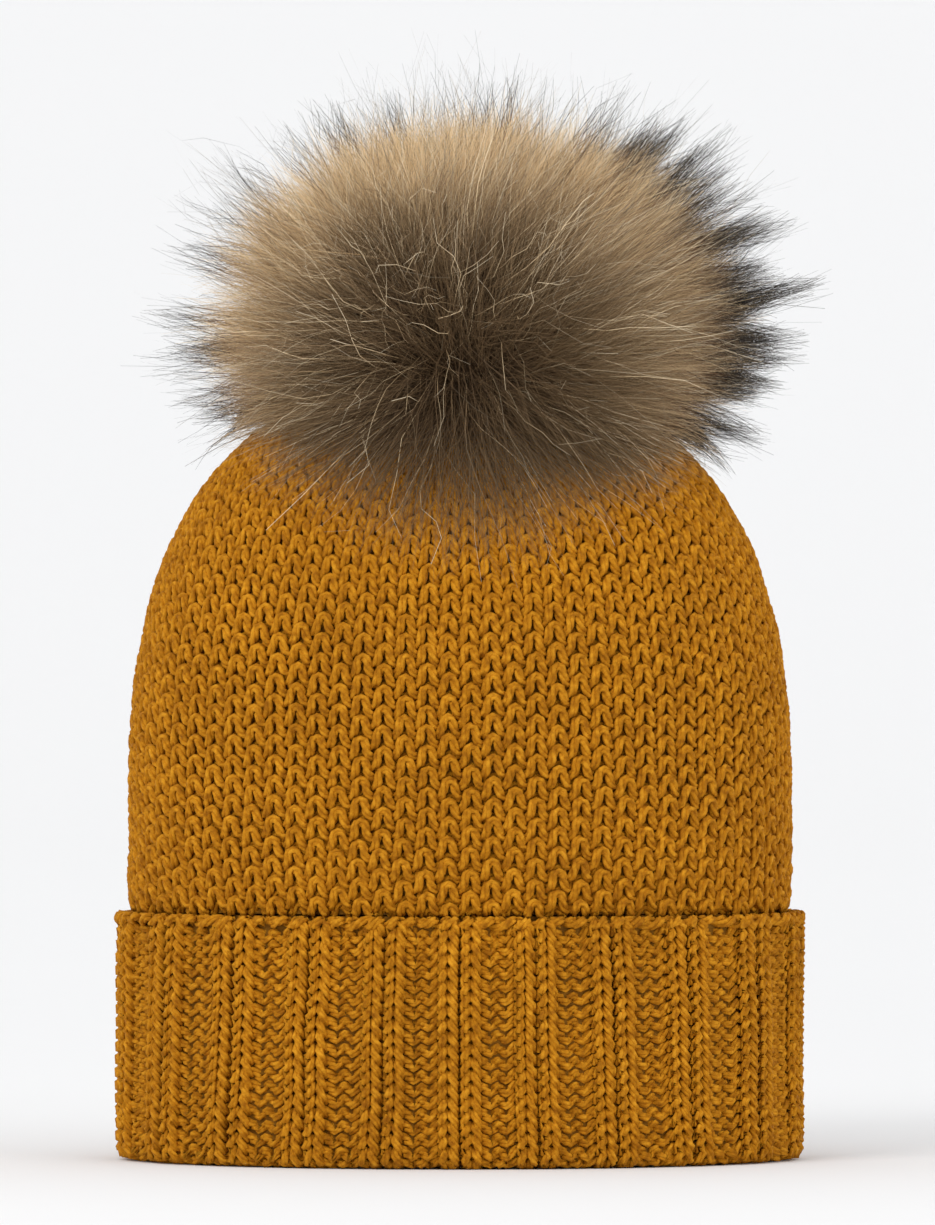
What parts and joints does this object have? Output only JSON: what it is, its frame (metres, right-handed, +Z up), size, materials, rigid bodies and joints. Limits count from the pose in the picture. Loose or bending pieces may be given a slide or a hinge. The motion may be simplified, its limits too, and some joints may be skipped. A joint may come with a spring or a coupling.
{
  "type": "pom pom beanie",
  "caption": "Knitted winter hat with a deep turned-up rib cuff, a moss-stitch crown and a detachable long-haired fur pom pom.",
  "frame": {"origin": "middle of the hem, on the surface that the hat stands on", "axes": "+Z up to the crown and pom pom, -Y to the front, X from side to side"},
  "size_m": [0.22, 0.191, 0.346],
  "materials": {
    "mustard_yarn": "plied worsted yarn, matt with a slight sheen",
    "pom_fur": "long soft hair, dark at the root, tan, black tips",
    "pelt_leather": "undyed suede skin side",
    "snap_steel": "nickel-plated sheet steel",
    "disc_plastic": "moulded black plastic",
    "patch_felt": "pressed felt",
    "label_satin": "woven satin tape, blank",
    "sewing_thread": "twisted sewing thread",
    "fibre_fill": "carded polyester"
  },
  "bodies": {
    "hat": {"crown_knit": "mustard_yarn", "inner_rib_band": "mustard_yarn", "turn_up_cuff": "mustard_yarn", "back_seam": "mustard_yarn", "care_label": "label_satin", "label_stitches": "sewing_thread"},
    "crown_tip": {"crown_gather_yarn": "mustard_yarn"},
    "snap_base": {"crown_patch": "patch_felt", "patch_stitches": "sewing_thread", "snap_post": "snap_steel", "snap_stud": "snap_steel"},
    "snap_spring": {"snap_ring_spring": "snap_steel"},
    "pom": {"snap_socket": "snap_steel", "pom_base_disc": "disc_plastic", "socket_washer": "snap_steel", "pom_gather_thread": "sewing_thread", "pom_pelt": "pelt_leather", "pom_stuffing": "fibre_fill", "pom_underfur": "pom_fur", "pom_guard_hair": "pom_fur"}
  },
  "joints": [
    {"name": "crown_nod", "type": "hinge", "parent": "hat", "child": "crown_tip", "pos_m": [0, 0, 0.2475], "axis": [1, 0, 0], "range_deg": [-6, 6], "stiffness_Nm_per_rad": 0.8},
    {"name": "crown_sway", "type": "hinge", "parent": "crown_tip", "child": "snap_base", "pos_m": [0, 0, 0.2475], "axis": [0, 1, 0], "range_deg": [-6, 6], "stiffness_Nm_per_rad": 0.8},
    {"name": "pom_pull_off", "type": "slide", "parent": "snap_base", "child": "snap_spring", "axis": [0, 0, 1], "range_m": [0, 0.06]},
    {"name": "pom_swivel", "type": "hinge", "parent": "snap_spring", "child": "pom", "pos_m": [0, 0, 0.2532], "axis": [0, 0, 1], "continuous": true}
  ]
}
